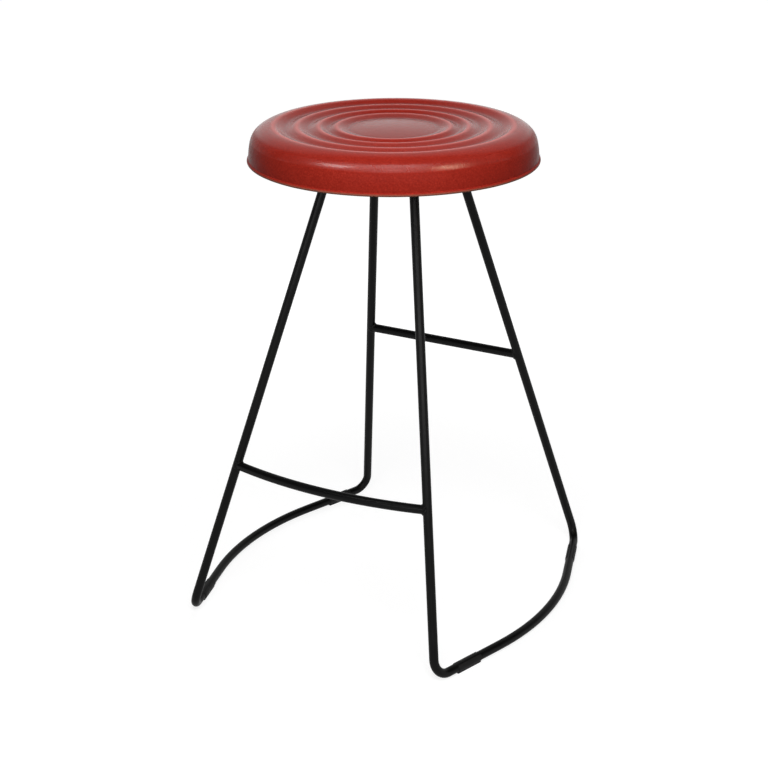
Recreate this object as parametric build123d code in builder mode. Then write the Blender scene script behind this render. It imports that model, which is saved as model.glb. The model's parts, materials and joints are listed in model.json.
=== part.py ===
"""Counter stool: bent rod frame on two runners, with a round moulded seat.

Millimetres and degrees. The floor is Z = 0, the seat's axis is Z and the front is at -Y.
Left and right are as seen from the front.
"""

import os
from math import radians, sin, tan

from build123d import *

os.makedirs("parts", exist_ok=True)

# Side frames: one bent rod each, a front leg, a runner and a rear leg
rod_diameter = 12.0
bend_radius = 20.0
front_foot_half_width = 187.0
rear_foot_half_width = 178.0
foot_half_depth = 230.5
leg_top_half_width = 60.0
leg_top_half_depth = 57.0
runner_splay = 17.3
runner_bow_radius = 385.0

# Crossbars between the legs, with coped ends
footrest_height = 208.5
footrest_bow = 19.0
stretcher_height = 310.5
cope_gap = 0.2

# Weld beads
weld_size = 2.2
weld_gap = 0.05

# Glides clipped on the runners
glide_wall = 0.7
glide_chamfer = 0.5
glide_length = 42.0
glide_from_corner = 60.0
glide_mouth = 8.0
glide_pad_width = 9.0
glide_clearance = 0.1

# Seat moulding
seat_height = 652.0
seat_diameter = 380.0
lip_thickness = 5.0
lip_proud = 2.0
lip_width = 8.0
lip_chamfer = 1.2
skirt_bow_radius = 90.0
skirt_turn = 13.8
shoulder_radius = 23.5
shoulder_turn = 41.2
rim_bow_radius = 36.5
rim_proud = 1.1
ring_crest_radii = (124.5, 96.5, 73.5)
ring_depth = 3.3
ring_fall = 0.4
dome_radius = 58.0
dome_rise = 2.8

# Seat board and mounting plate
board_diameter = 332.0
board_thickness = 12.0
board_clearance = 0.3
plate_side = 160.0
plate_thickness = 4.0
plate_corner_radius = 14.0

# Screws, washers and tee nuts
screw_circle_radius = 66.0
screw_count = 4
screw_diameter = 6.0
screw_length = 16.0
screw_head_diameter = 10.5
screw_head_height = 3.3
screw_socket = 4.0
screw_socket_depth = 2.0
screw_clearance = 0.4
washer_diameter = 14.0
washer_thickness = 1.6
nut_barrel_diameter = 8.0
nut_barrel_length = 9.0
nut_flange_diameter = 18.0
nut_flange_thickness = 1.5
nut_clearance = 0.3

# Heights and radii that follow
rod_radius = rod_diameter / 2
rod_plane = glide_wall + rod_radius
skirt_rise = skirt_bow_radius * sin(radians(skirt_turn))
shoulder_rise = shoulder_radius * (sin(radians(skirt_turn + shoulder_turn)) - sin(radians(skirt_turn)))
rim_rise = rim_bow_radius * (1 - sin(radians(skirt_turn + shoulder_turn)))
lip_top = seat_height - rim_rise - shoulder_rise - skirt_rise
lip_height = lip_top - lip_thickness
plate_bottom = lip_height
board_bottom = plate_bottom + plate_thickness
board_top = board_bottom + board_thickness
washer_bottom = plate_bottom - washer_thickness
seat_radius = seat_diameter / 2
skirt_radius = seat_radius - lip_proud
screw_hole_radius = screw_diameter / 2 + screw_clearance

# Points that the rods run through
sides = {"left": -1, "right": 1}
foot_mid_half_width = (front_foot_half_width + rear_foot_half_width) / 2
runner_peak_half_width = foot_mid_half_width + foot_half_depth * tan(radians(runner_splay))


def front_foot(side):
    """Corner where the front leg's line meets the runner's."""
    return Vector(side * front_foot_half_width, -foot_half_depth, rod_plane)


def rear_foot(side):
    """Corner where the rear leg's line meets the runner's."""
    return Vector(side * rear_foot_half_width, foot_half_depth, rod_plane)


def front_top(side):
    """Top of the front leg, at the mounting plate."""
    return Vector(side * leg_top_half_width, -leg_top_half_depth, plate_bottom)


def rear_top(side):
    """Top of the rear leg, at the mounting plate."""
    return Vector(side * leg_top_half_width, leg_top_half_depth, plate_bottom)


def runner_peak(side):
    """Corner where the lines of a runner's two straight ends would meet."""
    return Vector(side * runner_peak_half_width, 0, rod_plane)


def at_height(foot, top, height):
    """Point of a leg's line at a height."""
    return foot + (top - foot) * ((height - foot.Z) / (top.Z - foot.Z))


def square_to(start, end):
    """Plane at the start of a line, square to it."""
    return Plane(origin=start, z_dir=end - start)


# Side frames, with the leg tops cut level to meet the plate
for name, side in sides.items():
    with BuildPart() as side_frame:
        with BuildLine() as rod_line:
            FilletPolyline(
                front_top(side) + (front_top(side) - front_foot(side)).normalized() * rod_diameter,
                front_foot(side),
                runner_peak(side),
                rear_foot(side),
                rear_top(side) + (rear_top(side) - rear_foot(side)).normalized() * rod_diameter,
                radius=(bend_radius, runner_bow_radius, bend_radius),
            )
        with BuildSketch(Plane(origin=rod_line.line @ 0, z_dir=rod_line.line % 0)):
            Circle(rod_radius)
        sweep()
        split(bisect_by=Plane.XY.offset(plate_bottom), keep=Keep.BOTTOM)
    side_frame.part.label = f"{name}_side_frame"
    export_step(side_frame.part, f"parts/{name}_side_frame.step")

# Footrest, bowed to the front between the front legs
footrest_ends = [at_height(front_foot(side), front_top(side), footrest_height) for side in sides.values()]
footrest_middle = (footrest_ends[0] + footrest_ends[1]) / 2 - Vector(0, footrest_bow, 0)
with BuildPart() as footrest:
    with BuildLine() as footrest_line:
        ThreePointArc(footrest_ends[0], footrest_middle, footrest_ends[1])
    with BuildSketch(Plane(origin=footrest_line.line @ 0, z_dir=footrest_line.line % 0)):
        Circle(rod_radius)
    sweep()
    for side in sides.values():
        with BuildSketch(square_to(front_foot(side), front_top(side))):
            Circle(rod_radius + cope_gap)
        extrude(amount=(front_top(side) - front_foot(side)).length, mode=Mode.SUBTRACT)
footrest.part.label = "footrest"
export_step(footrest.part, "parts/footrest.step")

# Rear stretcher, straight between the rear legs
stretcher_ends = [at_height(rear_foot(side), rear_top(side), stretcher_height) for side in sides.values()]
with BuildPart() as rear_stretcher:
    with BuildSketch(square_to(*stretcher_ends)):
        Circle(rod_radius)
    extrude(amount=(stretcher_ends[1] - stretcher_ends[0]).length)
    for side in sides.values():
        with BuildSketch(square_to(rear_foot(side), rear_top(side))):
            Circle(rod_radius + cope_gap)
        extrude(amount=(rear_top(side) - rear_foot(side)).length, mode=Mode.SUBTRACT)
rear_stretcher.part.label = "rear_stretcher"
export_step(rear_stretcher.part, "parts/rear_stretcher.step")

# Weld beads round the crossbar ends, in the corner between bar and leg
footrest_tangents = [footrest_line.line % 0, (footrest_line.line % 1) * -1]
stretcher_tangents = [Vector(1, 0, 0), Vector(-1, 0, 0)]
bar_joints = {
    "footrest": (front_foot, front_top, footrest_ends, footrest_tangents),
    "stretcher": (rear_foot, rear_top, stretcher_ends, stretcher_tangents),
}
for bar, (foot, top, ends, tangents) in bar_joints.items():
    for (name, side), end, tangent in zip(sides.items(), ends, tangents):
        leg = square_to(foot(side), top(side))
        leg_length = (top(side) - foot(side)).length
        bar_plane = Plane(origin=end, z_dir=tangent)
        bar_reach = rod_radius + 2 * weld_size
        with BuildPart() as bar_weld:
            with BuildSketch(bar_plane):
                Circle(rod_radius + weld_size)
            extrude(amount=bar_reach)
            with BuildSketch(leg):
                Circle(rod_radius + weld_size)
            extrude(amount=leg_length, mode=Mode.INTERSECT)
            with BuildSketch(leg):
                Circle(rod_radius + weld_gap)
            extrude(amount=leg_length, mode=Mode.SUBTRACT)
            with BuildSketch(bar_plane):
                Circle(rod_radius + weld_gap)
            extrude(amount=bar_reach, mode=Mode.SUBTRACT)
        bar_weld.part.label = f"{bar}_weld_{name}"
        export_step(bar_weld.part, f"parts/{bar}_weld_{name}.step")

# Weld beads round the leg tops, under the plate
for end_name, foot, top in (("front", front_foot, front_top), ("rear", rear_foot, rear_top)):
    for name, side in sides.items():
        leg = square_to(top(side), foot(side))
        with BuildPart() as top_weld:
            with BuildSketch(leg.offset(-rod_diameter)):
                Circle(rod_radius + weld_size)
                Circle(rod_radius + weld_gap, mode=Mode.SUBTRACT)
            extrude(amount=2 * rod_diameter)
            split(bisect_by=Plane.XY.offset(plate_bottom), keep=Keep.BOTTOM)
            split(bisect_by=Plane.XY.offset(plate_bottom - weld_size), keep=Keep.TOP)
        top_weld.part.label = f"{end_name}_{name}_leg_weld"
        export_step(top_weld.part, f"parts/{end_name}_{name}_leg_weld.step")

# Glides: open sleeves with a flat pad, clipped on the straight ends of the runners
for end_name, foot in (("front", front_foot), ("rear", rear_foot)):
    for name, side in sides.items():
        along = (runner_peak(side) - foot(side)).normalized()
        start = foot(side) + along * (glide_from_corner - glide_length / 2)
        with BuildPart() as glide:
            with BuildSketch(Plane(origin=start, x_dir=Vector(0, 0, 1).cross(along), z_dir=along)):
                Circle(rod_radius + glide_wall)
                Rectangle(glide_pad_width, rod_plane, align=(Align.CENTER, Align.MAX))
                Circle(rod_radius + glide_clearance, mode=Mode.SUBTRACT)
                Rectangle(
                    glide_mouth,
                    rod_diameter,
                    align=(Align.CENTER, Align.MIN),
                    mode=Mode.SUBTRACT,
                )
            extrude(amount=glide_length)
            faces_along = glide.faces().sort_by(Axis(start, along))
            end_edges = faces_along[0].edges() + faces_along[-1].edges()
            chamfer(end_edges.filter_by(GeomType.CIRCLE).group_by(SortBy.RADIUS)[-1], length=glide_chamfer)
        glide.part.label = f"{end_name}_{name}_glide"
        export_step(glide.part, f"parts/{end_name}_{name}_glide.step")

# Seat moulding: lip, bowed skirt, rounded shoulder, rings and a domed centre
pocket_radius = board_diameter / 2 + board_clearance
lip_inner_radius = seat_radius - lip_width
with BuildPart() as seat_cushion:
    with BuildSketch(Plane.XZ):
        with BuildLine():
            underside = Polyline(
                (0, board_top + board_clearance),
                (pocket_radius, board_top + board_clearance),
                (pocket_radius, board_bottom),
                (lip_inner_radius, board_bottom),
                (lip_inner_radius, lip_height),
                (seat_radius - lip_chamfer, lip_height),
                (seat_radius, lip_height + lip_chamfer),
                (seat_radius, lip_top - lip_chamfer),
                (skirt_radius, lip_top),
            )
            skirt = JernArc(underside @ 1, (0, 1), skirt_bow_radius, skirt_turn)
            shoulder = JernArc(skirt @ 1, skirt % 1, shoulder_radius, shoulder_turn)
            rim_bow = JernArc(shoulder @ 1, shoulder % 1, rim_bow_radius, 90 - skirt_turn - shoulder_turn)
            rim = rim_bow @ 1
            extremes = [rim]
            for ring, crest_radius in enumerate(ring_crest_radii, start=1):
                crest = Vector(crest_radius, rim.Y - rim_proud - ring * ring_fall)
                extremes.append(Vector((extremes[-1].X + crest_radius) / 2, crest.Y - ring_depth))
                extremes.append(crest)
            dome_edge = Vector(dome_radius, extremes[-1].Y - ring_depth)
            extremes.append(dome_edge)
            Spline(*extremes, tangents=[(-1, 0)] * len(extremes))
            dome_top = Vector(0, dome_edge.Y + dome_rise)
            TangentArc(dome_top, dome_edge, tangent=(1, 0))
            Line(dome_top, underside @ 0)
        make_face()
    revolve(axis=Axis.Z)
seat_cushion.part.label = "seat_cushion"
export_step(seat_cushion.part, "parts/seat_cushion.step")

# Seat board, with a stepped hole for each tee nut
with BuildPart() as seat_board:
    with BuildSketch(Plane.XY.offset(board_bottom)):
        Circle(board_diameter / 2)
    extrude(amount=board_thickness)
    with Locations(Plane.XY.offset(board_top)):
        with PolarLocations(screw_circle_radius, screw_count):
            CounterBoreHole(
                radius=nut_barrel_diameter / 2 + nut_clearance,
                counter_bore_radius=nut_flange_diameter / 2 + nut_clearance,
                counter_bore_depth=nut_flange_thickness,
            )
seat_board.part.label = "seat_board"
export_step(seat_board.part, "parts/seat_board.step")

# Mounting plate, welded to the leg tops
with BuildPart() as mounting_plate:
    with BuildSketch(Plane.XY.offset(plate_bottom)):
        RectangleRounded(plate_side, plate_side, plate_corner_radius)
        with PolarLocations(screw_circle_radius, screw_count):
            Circle(screw_hole_radius, mode=Mode.SUBTRACT)
    extrude(amount=plate_thickness)
mounting_plate.part.label = "mounting_plate"
export_step(mounting_plate.part, "parts/mounting_plate.step")

# Washers under the plate
with BuildPart() as screw_washers:
    with BuildSketch(Plane.XY.offset(washer_bottom)):
        with PolarLocations(screw_circle_radius, screw_count):
            Circle(washer_diameter / 2)
            Circle(screw_hole_radius, mode=Mode.SUBTRACT)
    extrude(amount=washer_thickness)
screw_washers.part.label = "screw_washers"
export_step(screw_washers.part, "parts/screw_washers.step")

# Button head screws, put in from below
with BuildPart() as mounting_screws:
    with BuildSketch(Plane.XY.offset(washer_bottom)):
        with PolarLocations(screw_circle_radius, screw_count):
            Circle(screw_head_diameter / 2)
    extrude(amount=-screw_head_height)
    head_edges = mounting_screws.edges().group_by(Axis.Z)[0]
    chamfer(head_edges, length=screw_head_height / 2)
    with BuildSketch(Plane.XY.offset(washer_bottom)):
        with PolarLocations(screw_circle_radius, screw_count):
            Circle(screw_diameter / 2)
    extrude(amount=screw_length)
    with BuildSketch(Plane.XY.offset(washer_bottom - screw_head_height)):
        with PolarLocations(screw_circle_radius, screw_count):
            RegularPolygon(screw_socket / 2, 6, major_radius=False)
    extrude(amount=screw_socket_depth, mode=Mode.SUBTRACT)
mounting_screws.part.label = "mounting_screws"
export_step(mounting_screws.part, "parts/mounting_screws.step")

# Tee nuts, sunk in the top of the board
with BuildPart() as tee_nuts:
    with BuildSketch(Plane.XY.offset(board_top)):
        with PolarLocations(screw_circle_radius, screw_count):
            Circle(nut_flange_diameter / 2)
    extrude(amount=-nut_flange_thickness)
    with BuildSketch(Plane.XY.offset(board_top)):
        with PolarLocations(screw_circle_radius, screw_count):
            Circle(nut_barrel_diameter / 2)
    extrude(amount=-nut_barrel_length)
    with BuildSketch(Plane.XY.offset(board_top)):
        with PolarLocations(screw_circle_radius, screw_count):
            Circle(screw_hole_radius)
    extrude(amount=-nut_barrel_length, mode=Mode.SUBTRACT)
tee_nuts.part.label = "tee_nuts"
export_step(tee_nuts.part, "parts/tee_nuts.step")
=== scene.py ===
"""Looks of a counter stool: a ringed red moulded seat on a black bent rod frame.

Metres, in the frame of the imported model. The floor is Z = 0 and the front is at -Y.
"""

import json
import math

import bpy
import numpy as np
from mathutils import Matrix, Vector


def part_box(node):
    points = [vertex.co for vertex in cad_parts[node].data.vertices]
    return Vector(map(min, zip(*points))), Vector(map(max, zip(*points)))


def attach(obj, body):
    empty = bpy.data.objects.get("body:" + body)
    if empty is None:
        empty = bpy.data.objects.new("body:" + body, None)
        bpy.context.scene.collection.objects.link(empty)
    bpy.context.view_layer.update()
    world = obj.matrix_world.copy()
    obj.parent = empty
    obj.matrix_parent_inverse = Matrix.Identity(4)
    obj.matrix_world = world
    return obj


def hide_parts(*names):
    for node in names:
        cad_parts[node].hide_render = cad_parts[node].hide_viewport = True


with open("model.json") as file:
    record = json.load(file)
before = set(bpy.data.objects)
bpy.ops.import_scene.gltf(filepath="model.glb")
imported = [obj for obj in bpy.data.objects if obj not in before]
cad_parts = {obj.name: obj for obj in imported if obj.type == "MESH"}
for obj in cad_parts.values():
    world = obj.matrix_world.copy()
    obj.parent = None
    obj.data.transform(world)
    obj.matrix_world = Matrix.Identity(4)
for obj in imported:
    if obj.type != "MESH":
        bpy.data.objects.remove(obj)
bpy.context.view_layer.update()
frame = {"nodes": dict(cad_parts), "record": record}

# View: the photo's camera, as fitted to the stool
picture_width = 768
focal_length_in_pixels = 1704.1
view_azimuth = math.radians(29.60)
view_elevation = math.radians(21.41)
view_roll = math.radians(-0.24)
view_distance = 2.3204
view_target_shift = -0.0137
view_target_height = 0.2928

# Seat moulding, from its lip to its centre
lip_height = 0.005
lip_proud = 0.002
lip_width = 0.008
skirt_bow_radius = 0.090
skirt_turn = math.radians(13.8)
shoulder_radius = 0.0235
shoulder_turn = math.radians(41.2)
rim_bow_radius = 0.0365
rim_proud = 0.0011
ring_crest_radii = (0.1245, 0.0965, 0.0735)
ring_depth = 0.0033
ring_fall = 0.0004
dome_radius = 0.058
dome_rise = 0.0028
board_clearance = 0.0003
seat_steps_round = 384
seat_row_spacing = 0.0010

# Unevenness of the moulding: waves round the seat, as (count, phase, share)
seat_waves = ((2, 0.4, 1.0), (3, 1.9, 0.8), (5, 4.1, 0.6), (9, 0.7, 0.35), (17, 2.6, 0.2))
skirt_unevenness = 0.00018
lip_unevenness = 0.00025
even_share_of_radius = 0.9

# Seat skin: colours, some of them painted light and shade, and where its finish changes, from the seat's top
# down or its bottom up
fresh_reds = ((0.340, 0.0235, 0.0140), (0.385, 0.0285, 0.0170))
pore_red = (0.248, 0.0150, 0.0088)
# Painted light: a lighter red on the top, where more light falls
top_light_red = (0.46, 0.030, 0.018)
# Painted highlight: a lighter red along the ring crests
crest_highlight_red = (0.60, 0.055, 0.038)
# Painted shade: a darker red in the ring grooves
groove_shade_red = (0.20, 0.0070, 0.0040)
# Painted highlight: tan along the lip's lower edge, where it catches the light
lip_highlight_tan = (0.30, 0.115, 0.075)
pebble_share = 0.4
# How far past the rings the painted crest highlight and groove shade fade out
ridge_shading_fade = 0.007
dull_skirt_depth = 0.0182
shiny_shoulder_depth = 0.0128
shiny_rim_depth = 0.0095
satin_top_depth = 0.0055
# Depth under the top from which the painted lighter top is at full strength
top_light_depth = 0.0020
# Heights over the seat's bottom over which the painted lip highlight fades out
lip_highlight_heights = (0.0022, 0.0042)

# Rods and crossbars, for the weld beads
rod_radius = 0.006
rod_plane = 0.0067
front_foot = Vector((0.187, -0.2305, rod_plane))
rear_foot = Vector((0.178, 0.2305, rod_plane))
leg_top_half_width = 0.060
leg_top_half_depth = 0.057
footrest_height = 0.2085
footrest_bow = 0.019
stretcher_height = 0.3105

# Weld beads
bead_half_width = 0.0024
bead_half_height = 0.0013
bead_lift = 0.0002
bead_path_share = 0.97
bead_ripples = 17
bead_ripple_share = 0.12
bead_ripple_lag = 1.4
bead_steps_along = 204
bead_steps_round = 14

# Paper sweep round the stool, higher behind it, with its rims' elevations as seen from the seat
sweep_radius = 20.0
sweep_steps = 96
sweep_elevation = math.radians(13)
backdrop_elevation = math.radians(55)
backdrop_half_width = math.radians(40)
backdrop_fade = math.radians(20)

# Paper: its greys under light, its glow round the stool and high on the wall, and where these set in
paper_grey = 0.14
shown_paper_grey = 0.25
glow_at_stool = 0.84
glow_at_wall_top = 0.7
glow_distances = (0.4, 1.6)
glow_heights = (3.0, 12.0)

# Room and lamps
room_strength = 0.05
warm_white = (1.0, 0.82, 0.58)


def unit(vectors):
    """Vectors scaled to length 1, along the last axis."""
    return vectors / np.linalg.norm(vectors, axis=-1, keepdims=True)


def circle_angles(count):
    """Angles of points evenly round a circle."""
    return np.linspace(0, 2 * math.pi, count, endpoint=False)


def add_object(name, data):
    """Object in the scene for a mesh, lamp or camera."""
    piece = bpy.data.objects.new(name, data)
    bpy.context.scene.collection.objects.link(piece)
    return piece


def mesh_from(name, vertices, faces, sharp_angle=math.radians(50)):
    """Smooth mesh whose edges stay sharp where faces meet at more than an angle."""
    mesh = bpy.data.meshes.new(name)
    mesh.from_pydata([tuple(v) for v in vertices], [], faces)
    mesh.validate()
    mesh.polygons.foreach_set("use_smooth", [True] * len(mesh.polygons))
    mesh.set_sharp_from_angle(angle=sharp_angle)
    return mesh


def add_node(material, kind, inputs, **properties):
    """Shader node with values or links on its inputs."""
    tree = material.node_tree
    node = tree.nodes.new(kind)
    for name, value in properties.items():
        setattr(node, name, value)
    for name, value in inputs.items():
        if isinstance(value, bpy.types.NodeSocket):
            tree.links.new(value, node.inputs[name])
        else:
            node.inputs[name].default_value = value
    return node


def new_material(name):
    """Material with its Principled shader and the row frame's coordinates."""
    material = bpy.data.materials.new(name)
    material.use_nodes = True
    shader = material.node_tree.nodes["Principled BSDF"]
    place = add_node(material, "ShaderNodeTexCoord", {}).outputs["Object"]
    return material, shader, place


def link(material, output, shader, name):
    """Link from an output to a shader's input."""
    material.node_tree.links.new(output, shader.inputs[name])


def noise(material, place, scale, detail=3.0, roughness=0.5):
    """Fractal noise from 0 to 1."""
    inputs = {"Vector": place, "Scale": scale, "Detail": detail, "Roughness": roughness}
    return add_node(material, "ShaderNodeTexNoise", inputs).outputs["Fac"]


def spread(material, value, low, high, start=0.3, end=0.7):
    """Value from start to end, mapped to low to high."""
    inputs = {"Value": value, "From Min": start, "From Max": end, "To Min": low, "To Max": high}
    return add_node(material, "ShaderNodeMapRange", inputs).outputs["Result"]


def mix_colours(material, factor, first, second):
    """Colour between two colours."""
    node = add_node(material, "ShaderNodeMix", {"Factor": factor}, data_type="RGBA")
    for socket, value in zip([s for s in node.inputs if s.type == "RGBA"], (first, second)):
        if isinstance(value, bpy.types.NodeSocket):
            material.node_tree.links.new(value, socket)
        else:
            socket.default_value = (*value, 1.0)
    return next(s for s in node.outputs if s.type == "RGBA")


def math_node(material, operation, first, second):
    """Result of one arithmetic operation."""
    inputs = {0: first, 1: second}
    return add_node(material, "ShaderNodeMath", inputs, operation=operation).outputs["Value"]


def height_of(material, place):
    """Height of a place over the floor."""
    return add_node(material, "ShaderNodeSeparateXYZ", {"Vector": place}).outputs["Z"]


def facing_of(material):
    """Value from 0 where the surface faces the eye to 1 at a flat angle, for gloss."""
    return add_node(material, "ShaderNodeLayerWeight", {"Blend": 0.5}).outputs["Facing"]


def stretched(material, place, scale):
    """Coordinates scaled by their own factor along each axis."""
    return add_node(material, "ShaderNodeMapping", {"Vector": place, "Scale": scale}).outputs["Vector"]


def bump(material, height, strength, distance):
    """Normal of a surface with a height on it."""
    inputs = {"Height": height, "Strength": strength, "Distance": distance}
    return add_node(material, "ShaderNodeBump", inputs).outputs["Normal"]


def leather_grain(material, place):
    """Height of a fine grain from 0 to 1: pebbles with pores in them."""
    cells = add_node(
        material,
        "ShaderNodeTexVoronoi",
        {"Vector": place, "Scale": 330.0, "Randomness": 1.0},
        feature="DISTANCE_TO_EDGE",
    ).outputs["Distance"]
    pebbles = spread(material, cells, 0.0, pebble_share, 0.0, 0.36)
    pores = spread(material, noise(material, place, 420.0), 0.0, 1 - pebble_share)
    return math_node(material, "ADD", pebbles, pores)


def seat_colour(material, height, grain, patches):
    """Red that is deeper in pores, with painted shade in the grooves, a painted lighter top, painted
    highlights on the crests and a painted tan highlight at the lip's edge.
    """
    seat_bottom, seat_top = (corner.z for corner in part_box("seat_cushion"))
    # Level from 1 on crests, for a painted highlight, to -1 in grooves, for painted shade
    ridge_shading = add_node(material, "ShaderNodeAttribute", {}, attribute_name="ridge_shading").outputs["Fac"]
    out_of_pores = spread(material, grain, 0.0, 1.0, 0.1, 0.9)
    # Painted light and shade: a lighter top, highlights on the crests, shade in the grooves and a highlight
    # at the lip's edge
    top_light = spread(material, height, 0.0, 0.2, seat_top - satin_top_depth, seat_top - top_light_depth)
    crest_highlight = spread(material, ridge_shading, 0.0, 0.90, 0.35, 1.0)
    groove_shade = spread(material, ridge_shading, 0.45, 0.0, -1.0, -0.2)
    lip_highlight = spread(material, height, 0.85, 0.0, *(seat_bottom + rise for rise in lip_highlight_heights))
    colour = mix_colours(material, out_of_pores, pore_red, mix_colours(material, patches, *fresh_reds))
    layers = ((top_light, top_light_red), (crest_highlight, crest_highlight_red), (groove_shade, groove_shade_red), (lip_highlight, lip_highlight_tan))
    for factor, layer_colour in layers:
        colour = mix_colours(material, factor, colour, layer_colour)
    return colour


def seat_gloss(material, height):
    """Specular level: shiny on the shoulder unless seen flat, satin on the top and dull on the skirt."""
    seat_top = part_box("seat_cushion")[1].z
    shoulder_heights = (seat_top - dull_skirt_depth, seat_top - shiny_shoulder_depth)
    rim_heights = (seat_top - shiny_rim_depth, seat_top - satin_top_depth)
    shoulder = spread(material, height, 0.012, 1.0, *shoulder_heights)
    seen_flat = spread(material, facing_of(material), 1.0, 0.03, 0.16, 0.40)
    rim = spread(material, height, 1.0, 0.0, *rim_heights)
    top = spread(material, height, 0.0, 0.13, *rim_heights)
    side = math_node(material, "MINIMUM", math_node(material, "MINIMUM", shoulder, seen_flat), rim)
    return math_node(material, "MAXIMUM", side, top)


def seat_roughness(material, height, patches):
    """Roughness, lower on the polished top and slightly patchy."""
    seat_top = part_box("seat_cushion")[1].z
    polish = spread(material, height, 0.28, 0.20, seat_top - shiny_rim_depth, seat_top - satin_top_depth)
    return math_node(material, "ADD", polish, spread(material, patches, -0.03, 0.03, 0.0, 1.0))


def seat_skin():
    """Red skin with a fine leather grain, with painted light and shade on its top, crests, grooves and lip.
    """
    material, shader, place = new_material("seat_skin")
    grain = leather_grain(material, place)
    patches = spread(material, noise(material, place, 30.0, 4.0), 0.0, 1.0)
    height = height_of(material, place)
    link(material, seat_colour(material, height, grain, patches), shader, "Base Color")
    link(material, seat_roughness(material, height, patches), shader, "Roughness")
    link(material, seat_gloss(material, height), shader, "Specular IOR Level")
    link(material, bump(material, grain, 0.35, 0.00030), shader, "Normal")
    return material


def powder_coat():
    """Satin black powder coat, duller at a flat angle."""
    material, shader, place = new_material("frame_coat")
    patches = noise(material, place, 35.0, 4.0)
    peel = noise(material, place, 900.0, 2.0)
    shade = spread(material, patches, 0.0, 1.0)
    colour = mix_colours(material, shade, (0.0030, 0.0030, 0.0030), (0.0048, 0.0048, 0.0049))
    link(material, colour, shader, "Base Color")
    link(material, spread(material, patches, 0.28, 0.36), shader, "Roughness")
    link(material, spread(material, facing_of(material), 0.10, 0.03), shader, "Specular IOR Level")
    link(material, bump(material, peel, 0.15, 0.0002), shader, "Normal")
    return material


def plywood():
    """Raw birch plywood face."""
    material, shader, place = new_material("plywood")
    figure = noise(material, stretched(material, place, (3.0, 40.0, 3.0)), 4.0, 6.0, 0.6)
    fibres = noise(material, stretched(material, place, (20.0, 900.0, 20.0)), 1.0, 4.0, 0.7)
    wood = mix_colours(material, spread(material, figure, 0.0, 1.0), (0.50, 0.33, 0.18), (0.66, 0.49, 0.31))
    colour = mix_colours(material, spread(material, fibres, 0.0, 0.5), wood, (0.36, 0.22, 0.11))
    link(material, colour, shader, "Base Color")
    link(material, spread(material, fibres, 0.55, 0.75), shader, "Roughness")
    link(material, bump(material, fibres, 0.3, 0.0002), shader, "Normal")
    return material


def zinc_plate():
    """Bright zinc plated steel."""
    material, shader, place = new_material("zinc_steel")
    patches = noise(material, place, 180.0, 4.0)
    shade = spread(material, patches, 0.0, 1.0)
    link(material, mix_colours(material, shade, (0.52, 0.52, 0.52), (0.68, 0.68, 0.66)), shader, "Base Color")
    link(material, spread(material, patches, 0.25, 0.42), shader, "Roughness")
    link(material, bump(material, noise(material, place, 1800.0), 0.1, 0.0001), shader, "Normal")
    shader.inputs["Metallic"].default_value = 1.0
    return material


def glide_plastic():
    """Matte black plastic with a fine spark texture."""
    material, shader, place = new_material("glide_plastic")
    texture = noise(material, place, 2200.0, 2.0)
    patches = noise(material, place, 120.0)
    shade = spread(material, patches, 0.0, 1.0)
    colour = mix_colours(material, shade, (0.009, 0.009, 0.009), (0.014, 0.014, 0.014))
    link(material, colour, shader, "Base Color")
    link(material, spread(material, patches, 0.58, 0.72), shader, "Roughness")
    link(material, bump(material, texture, 0.35, 0.0002), shader, "Normal")
    shader.inputs["Specular IOR Level"].default_value = 0.15
    return material


def arc_points(start, heading, radius, turn, spacing):
    """Points of an arc that starts with a heading and turns left by an angle."""
    count = max(2, math.ceil(radius * turn / spacing) + 1)
    turns = heading + np.linspace(0, turn, count)
    centre = np.array(start) + radius * np.array([-math.sin(heading), math.cos(heading)])
    return centre + radius * np.stack([np.sin(turns), -np.cos(turns)], axis=-1)


def wave_points(outer, inner, spacing):
    """Half a wave from a crest to a groove, or back."""
    count = math.ceil(abs(outer[0] - inner[0]) / spacing) + 1
    run = np.linspace(0, 1, count)
    rise = (1 - np.cos(math.pi * run)) / 2
    radii = outer[0] + (inner[0] - outer[0]) * run
    heights = outer[1] + (inner[1] - outer[1]) * rise
    return np.stack([radii, heights], axis=-1)


def underside_points(seat_radius, seat_bottom):
    """Outline of the pocket for the board and of the lip's inner side."""
    board_low, board_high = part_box("seat_board")
    pocket_radius = board_high.x + board_clearance
    pocket_top = board_high.z + board_clearance
    lip_inner_radius = seat_radius - lip_width
    return [
        (0, pocket_top),
        (pocket_radius, pocket_top),
        (pocket_radius, board_low.z),
        (lip_inner_radius, board_low.z),
        (lip_inner_radius, seat_bottom),
    ]


def lip_bead_points(seat_radius, seat_bottom):
    """Outline of the lip's rounded edge."""
    bead_radius = lip_height / 2
    bead_start = (seat_radius - bead_radius, seat_bottom)
    bead_reach = math.acos((lip_proud - bead_radius) / bead_radius)
    return arc_points(bead_start, 0, bead_radius, math.pi - bead_reach / 2, seat_row_spacing / 2)


def side_points(seat_radius, seat_bottom):
    """Outline of the skirt, the shoulder and the rim."""
    skirt_start = (seat_radius - lip_proud, seat_bottom + lip_height)
    upright = math.radians(90)
    skirt = arc_points(skirt_start, upright, skirt_bow_radius, skirt_turn, seat_row_spacing)
    heading = upright + skirt_turn
    shoulder = arc_points(skirt[-1], heading, shoulder_radius, shoulder_turn, seat_row_spacing)
    heading += shoulder_turn
    rim = arc_points(shoulder[-1], heading, rim_bow_radius, math.pi - heading, seat_row_spacing)
    return np.concatenate([skirt, shoulder[1:], rim[1:]])


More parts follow.
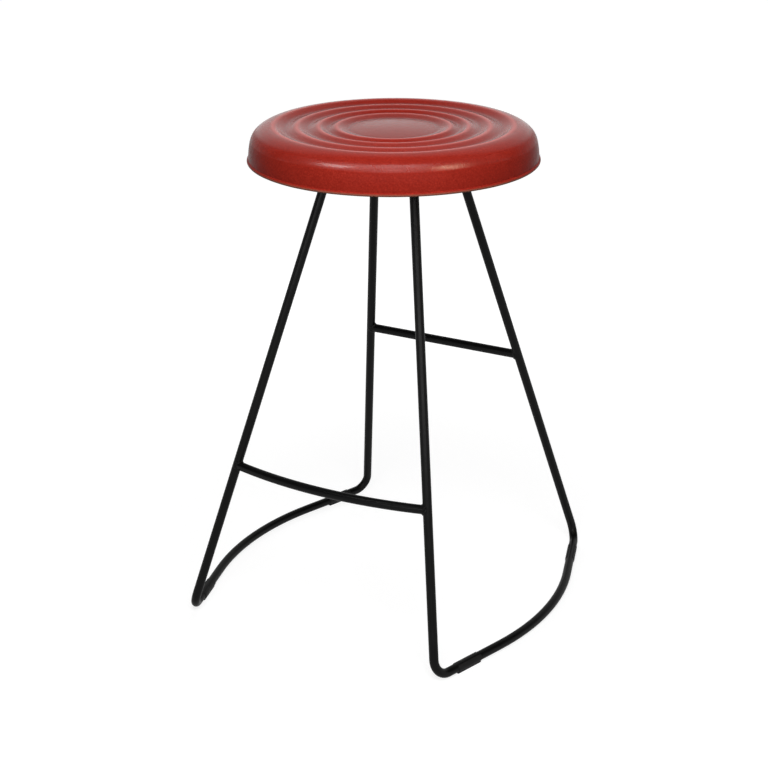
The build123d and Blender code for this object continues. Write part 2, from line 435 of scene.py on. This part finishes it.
def ring_extremes(rim):
    """Crests and grooves from the rim to the edge of the dome, in radius and height."""
    extremes = [rim]
    for ring, crest_radius in enumerate(ring_crest_radii, start=1):
        crest_height = rim[1] - rim_proud - ring * ring_fall
        extremes.append(((extremes[-1][0] + crest_radius) / 2, crest_height - ring_depth))
        extremes.append((crest_radius, crest_height))
    extremes.append((dome_radius, extremes[-1][1] - ring_depth))
    return extremes


def dome_points(edge_height):
    """Outline of the domed centre, from its edge to its middle."""
    run = np.linspace(1, 0, math.ceil(dome_radius / seat_row_spacing))[1:]
    return np.stack([dome_radius * run, edge_height + dome_rise * (1 - run**2)], axis=-1)


def profile_ridge_shading(profile, extremes):
    """Level for painted light along the seat's outline: 1 on a crest for a painted highlight, -1 in a groove
    for painted shade and 0 away from the rings.
    """
    radii = [extremes[0][0] + ridge_shading_fade, *(radius for radius, _ in extremes), extremes[-1][0] - ridge_shading_fade]
    levels = [0, *(1 - 2 * (place % 2) for place in range(len(extremes))), 0]
    ridge_shading = np.interp(profile[:, 0], radii[::-1], levels[::-1], left=0, right=0)
    return np.where(profile[:, 1] > extremes[0][1] - ridge_shading_fade, ridge_shading, 0)


def seat_profile(seat_radius, seat_bottom):
    """Outline of the moulding in radius and height, from under its middle to the top, and its level for
    painted crest highlights and groove shade.
    """
    underside = underside_points(seat_radius, seat_bottom)
    bead = lip_bead_points(seat_radius, seat_bottom)
    side = side_points(seat_radius, seat_bottom)
    extremes = ring_extremes(side[-1])
    waves = [wave_points(outer, inner, seat_row_spacing)[1:] for outer, inner in zip(extremes, extremes[1:])]
    profile = np.concatenate([underside, bead, side, *waves, dome_points(extremes[-1][1])])
    return profile, profile_ridge_shading(profile, extremes)


def unevenness(angles):
    """Slow waves round the seat, about -1 to 1."""
    total = sum(share for _, _, share in seat_waves)
    return sum(share * np.sin(count * angles + phase) for count, phase, share in seat_waves) / total


def turned_points(rows, seat_radius, seat_bottom):
    """Rows of a profile turned round the seat's axis, slightly uneven at the skirt and lip."""
    angles = circle_angles(seat_steps_round)
    waves = unevenness(angles)
    lip_waves = np.roll(waves, seat_steps_round // 3)
    even_radius = seat_radius * even_share_of_radius
    outward = np.clip((rows[:, 0] - even_radius) / (seat_radius - even_radius), 0, 1)
    lowness = np.clip(1 - (rows[:, 1] - seat_bottom) / (2 * lip_height), 0, 1) * outward
    radii = rows[:, 0, None] - skirt_unevenness * outward[:, None] * (1 + waves)
    heights = rows[:, 1, None] + lip_unevenness * lowness[:, None] * (1 + lip_waves)
    return np.stack([radii * np.cos(angles), radii * np.sin(angles), heights], axis=-1).reshape(-1, 3)


def turned_faces(row_count):
    """Faces of a turned form: quads between its rows, and triangles to its lower and upper middle points."""
    lower_middle = row_count * seat_steps_round
    upper_middle = lower_middle + 1
    last = lower_middle - seat_steps_round
    faces = []
    for step in range(seat_steps_round):
        after = (step + 1) % seat_steps_round
        faces.append((lower_middle, after, step))
        for start in range(0, last, seat_steps_round):
            end = start + seat_steps_round
            faces.append((start + step, start + after, end + after, end + step))
        faces.append((last + step, last + after, upper_middle))
    return faces


def moulded_seat(finish):
    """Seat moulding, with its level for painted crest highlights and groove shade as an attribute."""
    low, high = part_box("seat_cushion")
    profile, ridge_shading = seat_profile(high.x, low.z)
    rows = profile[1:-1]
    middles = [(0, 0, profile[0, 1]), (0, 0, profile[-1, 1])]
    vertices = [*turned_points(rows, high.x, low.z), *middles]
    mesh = mesh_from("moulded_seat", vertices, turned_faces(len(rows)))
    # Level for the painted crest highlight and groove shade, per point
    levels = np.concatenate([np.repeat(ridge_shading[1:-1], seat_steps_round), [ridge_shading[0], ridge_shading[-1]]])
    mesh.attributes.new("ridge_shading", "FLOAT", "POINT").data.foreach_set("value", levels.astype(np.float32))
    mesh.materials.append(finish)
    seat = add_object("moulded_seat", mesh)
    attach(seat, "root")
    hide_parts("seat_cushion")


def bead_points(path, first_normals, second_normals):
    """Rings of points round a rippled bead along a closed path, in the corner between two surfaces."""
    outward = unit(first_normals + second_normals)
    across = unit(first_normals - second_normals)
    steps = np.linalg.norm(np.roll(path, -1, axis=0) - path, axis=1)
    travel = np.concatenate([[0], np.cumsum(steps)[:-1]]) / steps.sum()
    turns = circle_angles(bead_steps_round)
    phase = 2 * math.pi * bead_ripples * travel[:, None] + bead_ripple_lag * np.cos(turns) ** 2
    size = 1 + bead_ripple_share * np.sin(phase)
    width = (bead_half_width * size * np.cos(turns))[..., None] * across[:, None, :]
    height = (bead_half_height * size * np.sin(turns))[..., None] * outward[:, None, :]
    return path[:, None, :] + bead_lift * outward[:, None, :] + width + height


def weld_bead(name, node, path, first_normals, second_normals):
    """Bead that stands for a weld's solid."""
    points = bead_points(path, first_normals, second_normals)
    count, ring = points.shape[:2]
    faces = []
    for i in range(count):
        for j in range(ring):
            a, b = i * ring, ((i + 1) % count) * ring
            k = (j + 1) % ring
            faces.append((a + j, b + j, b + k, a + k))
    bead = add_object(name, mesh_from(name, points.reshape(-1, 3), faces))
    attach(bead, "root")
    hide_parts(node)
    return bead


def bar_weld(name, node, end, bar_direction, leg_direction):
    """Bead where a crossbar's end meets a leg, both rods of the same size."""
    bar = np.array(bar_direction.normalized())
    leg = np.array(leg_direction.normalized())
    side = unit(np.cross(bar, leg))
    up = np.cross(side, bar)
    turns = circle_angles(bead_steps_along)
    bar_normals = np.cos(turns)[:, None] * up + np.sin(turns)[:, None] * side
    start = rod_radius * bead_path_share * bar_normals
    # Distance along the bar, from its axis at the leg's middle, to the leg's surface
    lean = bar - (bar @ leg) * leg
    across = start - (start @ leg)[:, None] * leg
    square = lean @ lean
    half_linear = across @ lean
    constant = (across * across).sum(axis=1) - rod_radius**2
    reach = (-half_linear + np.sqrt(np.maximum(half_linear**2 - square * constant, 0))) / square
    offset = start + reach[:, None] * bar
    leg_normals = unit(offset - (offset @ leg)[:, None] * leg)
    return weld_bead(name, node, np.array(end) + offset, bar_normals, leg_normals)


def leg_top_weld(name, node, top, leg_direction):
    """Bead where a leg meets the underside of the mounting plate."""
    leg = np.array(leg_direction.normalized())
    first = unit(np.cross(leg, (0, 1, 0)))
    second = np.cross(leg, first)
    turns = circle_angles(bead_steps_along)
    normals = np.cos(turns)[:, None] * first + np.sin(turns)[:, None] * second
    path = rod_radius * normals
    path = path - (path[:, 2] / leg[2])[:, None] * leg
    down = np.tile((0.0, 0.0, -1.0), (bead_steps_along, 1))
    return weld_bead(name, node, np.array(top) + path, normals, down)


def leg_line(foot, top_depth, side):
    """Foot of a leg, its top under the mounting plate and its direction, on one side."""
    plate_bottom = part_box("mounting_plate")[0].z
    mirror = Matrix.Diagonal((side, 1, 1))
    low = mirror @ foot
    top = mirror @ Vector((leg_top_half_width, top_depth, plate_bottom))
    return low, top, top - low


def front_beads(side_name, side):
    """Beads at the top of a front leg and at its end of the footrest."""
    low, top, leg = leg_line(front_foot, -leg_top_half_depth, side)
    end = low + leg * ((footrest_height - rod_plane) / leg.z)
    turn = 2 * math.atan(footrest_bow / abs(end.x))
    bar = Vector((-side * math.cos(turn), -math.sin(turn), 0))
    return [
        leg_top_weld(f"front_{side_name}_leg_bead", f"front_{side_name}_leg_weld", top, leg),
        bar_weld(f"footrest_bead_{side_name}", f"footrest_weld_{side_name}", end, bar, leg),
    ]


def rear_beads(side_name, side):
    """Beads at the top of a rear leg and at its end of the stretcher."""
    low, top, leg = leg_line(rear_foot, leg_top_half_depth, side)
    end = low + leg * ((stretcher_height - rod_plane) / leg.z)
    bar = Vector((-side, 0, 0))
    return [
        leg_top_weld(f"rear_{side_name}_leg_bead", f"rear_{side_name}_leg_weld", top, leg),
        bar_weld(f"stretcher_bead_{side_name}", f"stretcher_weld_{side_name}", end, bar, leg),
    ]


def weld_beads(finish):
    """Beads at the ends of the crossbars and at the tops of the legs."""
    for side_name, side in (("left", -1), ("right", 1)):
        for bead in front_beads(side_name, side) + rear_beads(side_name, side):
            bead.data.materials.append(finish)


def finish_nodes(finishes):
    """Materials on the CAD nodes, by their slots in the record."""
    for part in frame["record"]["subparts"]:
        mesh = frame["nodes"][part["node"]].data
        mesh.materials.clear()
        mesh.materials.append(finishes[part["material_slot"]])


def shown_white(material):
    """Factor that is 1 for rays that show the background."""
    rays = add_node(material, "ShaderNodeLightPath", {}).outputs
    seen = math_node(material, "MAXIMUM", rays["Is Camera Ray"], rays["Is Glossy Ray"])
    return math_node(material, "MAXIMUM", seen, rays["Is Transmission Ray"])


def paper_glow(material):
    """Strength of the paper's own light, lower round the stool and high on the wall."""
    place = add_node(material, "ShaderNodeTexCoord", {}).outputs["Object"]
    distance = add_node(material, "ShaderNodeVectorMath", {0: place}, operation="LENGTH").outputs["Value"]
    round_stool = spread(material, distance, glow_at_stool, 1.0, *glow_distances)
    up_wall = spread(material, height_of(material, place), 1.0, glow_at_wall_top, *glow_heights)
    return math_node(material, "MULTIPLY", round_stool, up_wall)


def grey_paint(material, grey):
    """Dull paint of one grey."""
    return add_node(material, "ShaderNodeBsdfDiffuse", {"Color": (grey, grey, grey, 1)}).outputs["BSDF"]


def white_paper():
    """Paper that looks white, keeps a faint shadow and throws little light back."""
    material = bpy.data.materials.new("white_paper")
    material.use_nodes = True
    nodes = material.node_tree.nodes
    nodes.remove(nodes["Principled BSDF"])
    glow = add_node(material, "ShaderNodeEmission", {"Strength": paper_glow(material)}).outputs["Emission"]
    shown_inputs = {0: grey_paint(material, shown_paper_grey), 1: glow}
    shown = add_node(material, "ShaderNodeAddShader", shown_inputs).outputs["Shader"]
    mix_inputs = {0: shown_white(material), 1: grey_paint(material, paper_grey), 2: shown}
    mix = add_node(material, "ShaderNodeMixShader", mix_inputs).outputs["Shader"]
    link(material, mix, nodes["Material Output"], "Surface")
    return material


def paper_sweep():
    """White floor with a round wall that is higher behind the stool."""
    turns = np.linspace(-math.pi, math.pi, sweep_steps, endpoint=False)
    behind = view_azimuth + math.radians(90)
    ring = np.stack([np.cos(turns + behind), np.sin(turns + behind)], axis=-1) * sweep_radius
    backdrop = np.clip((backdrop_half_width + backdrop_fade - np.abs(turns)) / backdrop_fade, 0, 1)
    elevations = sweep_elevation + (backdrop_elevation - sweep_elevation) * backdrop
    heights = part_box("seat_cushion")[1].z + sweep_radius * np.tan(elevations)
    floor_ring = [(x, y, 0) for x, y in ring]
    wall_ring = [(x, y, height) for (x, y), height in zip(ring, heights)]
    faces = [tuple(range(sweep_steps))]
    for step in range(sweep_steps):
        after = (step + 1) % sweep_steps
        faces.append((step, sweep_steps + step, sweep_steps + after, after))
    sweep = add_object("paper_sweep", mesh_from("paper_sweep", floor_ring + wall_ring, faces))
    sweep.data.materials.append(white_paper())


def dim_studio():
    """Even, dim room over the sweep."""
    world = bpy.data.worlds.new("studio")
    world.use_nodes = True
    room = world.node_tree.nodes["Background"]
    room.inputs["Color"].default_value = (1, 1, 1, 1)
    room.inputs["Strength"].default_value = room_strength
    bpy.context.scene.world = world


def direction_to(azimuth, elevation):
    """Direction from the stool, by its angle from the front and its angle over the floor."""
    level = math.cos(elevation)
    return Vector((math.sin(azimuth) * level, -math.cos(azimuth) * level, math.sin(elevation)))


def softbox(name, azimuth, elevation, distance, size, power, colour=(1, 1, 1), fill=False):
    """Soft lamp that faces the seat, placed by its angles from the front of the view in degrees.

    A fill lights the stool and isn't mirrored in it. Any other lamp only makes highlights.
    """
    light = bpy.data.lights.new(name, "AREA")
    light.shape = "RECTANGLE"
    light.size, light.size_y = size
    light.energy = power
    light.color = colour
    lamp = add_object(name, light)
    lamp.visible_camera = False
    lamp.visible_glossy = not fill
    lamp.visible_diffuse = fill
    towards = direction_to(view_azimuth + math.radians(azimuth), math.radians(elevation))
    seat_low, seat_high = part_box("seat_cushion")
    lamp.location = (seat_low + seat_high) / 2 + towards * distance
    lamp.rotation_mode = "QUATERNION"
    lamp.rotation_quaternion = towards.to_track_quat("Z", "Y")


def soft_lamps():
    """Highlights from the left, right, top and front, and fills from the front and back."""
    softbox("left_softbox", -51, 40, 1.4, (0.26, 0.20), power=2.8)
    softbox("right_softbox", 45, 30, 1.4, (0.26, 0.50), power=4.2, colour=warm_white)
    softbox("top_softbox", 0, 60, 1.4, (1.0, 0.20), power=1.5)
    softbox("low_softbox", 0, 10, 1.5, (2.2, 0.36), power=15.5)
    softbox("front_softbox", 0, 38, 1.5, (1.0, 0.8), power=27.0, fill=True)
    softbox("back_softbox", 180, 8, 1.5, (1.0, 0.6), power=12.0, fill=True)


def photo_camera():
    """Camera at the photo's view."""
    data = bpy.data.cameras.new("camera")
    data.lens = data.sensor_width * focal_length_in_pixels / picture_width
    camera = add_object("camera", data)
    back = direction_to(view_azimuth, view_elevation)
    right = Vector((math.cos(view_azimuth), math.sin(view_azimuth), 0))
    up = back.cross(right)
    target = right * view_target_shift + Vector((0, 0, view_target_height))
    rolled_right = right * math.cos(view_roll) + up * math.sin(view_roll)
    rolled_up = up * math.cos(view_roll) - right * math.sin(view_roll)
    turn = Matrix((rolled_right, rolled_up, back)).transposed()
    camera.matrix_world = Matrix.LocRotScale(target + back * view_distance, turn, None)
    bpy.context.scene.camera = camera


finishes = {
    "frame_coat": powder_coat(),
    "seat_skin": seat_skin(),
    "plywood": plywood(),
    "zinc_steel": zinc_plate(),
    "glide_plastic": glide_plastic(),
}
finish_nodes(finishes)
moulded_seat(finishes["seat_skin"])
weld_beads(finishes["frame_coat"])

paper_sweep()
dim_studio()
soft_lamps()
photo_camera()
bpy.context.scene.view_settings.view_transform = "Standard"
